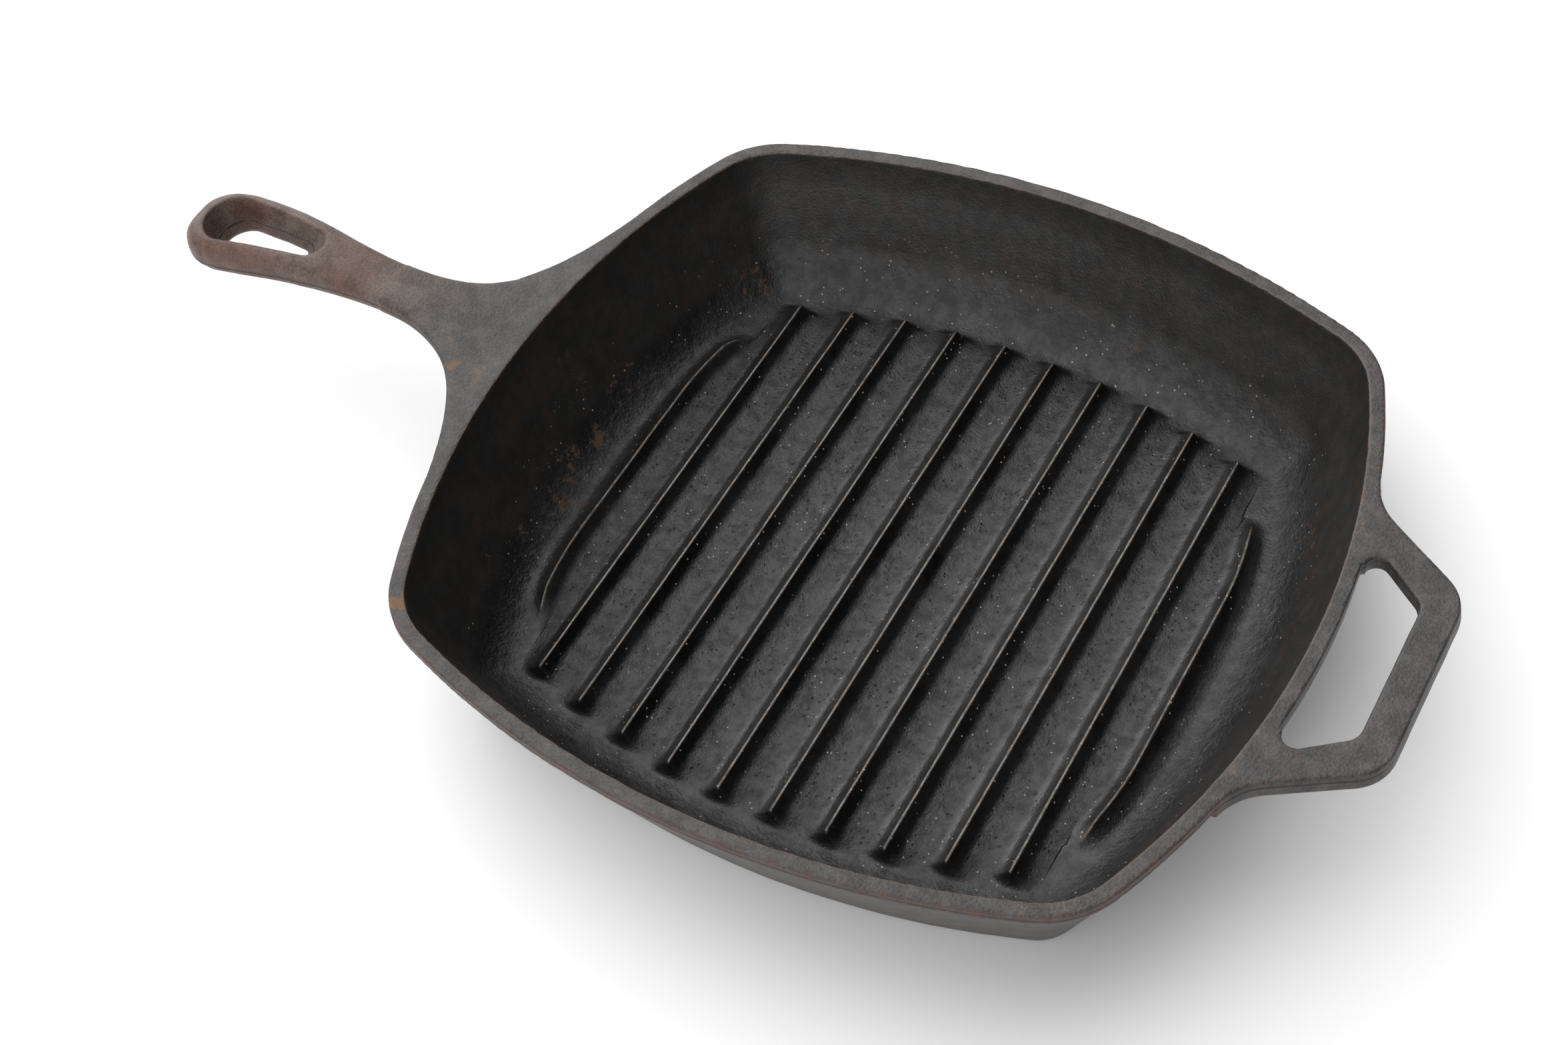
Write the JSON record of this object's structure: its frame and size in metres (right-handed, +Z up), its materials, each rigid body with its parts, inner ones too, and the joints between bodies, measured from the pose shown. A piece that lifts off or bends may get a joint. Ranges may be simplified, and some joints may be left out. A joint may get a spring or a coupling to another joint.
{
  "type": "grill pan",
  "caption": "Square cast-iron grill pan with a ridged floor, a long handle with a hanging hole and a flat helper handle.",
  "frame": {"origin": "centre of the pan's underside, where it rests", "axes": "+Z up, +X towards the helper handle, the long handle along -X, the ridges along Y"},
  "size_m": [0.4202, 0.2576, 0.0572],
  "materials": {
    "pan_iron": "seasoned black, semi-gloss",
    "ridge_iron": "seasoned black, crests worn to bronze",
    "handle_iron": "dry grey-brown, grainy"
  },
  "bodies": {
    "root": {"floor_plate": "pan_iron", "side_wall": "pan_iron", "rim_band": "handle_iron", "long_handle": "handle_iron", "helper_handle": "handle_iron", "grill_ridge_01": "ridge_iron", "grill_ridge_02": "ridge_iron", "grill_ridge_03": "ridge_iron", "grill_ridge_04": "ridge_iron", "grill_ridge_05": "ridge_iron", "grill_ridge_06": "ridge_iron", "grill_ridge_07": "ridge_iron", "grill_ridge_08": "ridge_iron", "grill_ridge_09": "ridge_iron", "grill_ridge_10": "ridge_iron", "grill_ridge_11": "ridge_iron", "grill_ridge_12": "ridge_iron"}
  },
  "joints": []
}
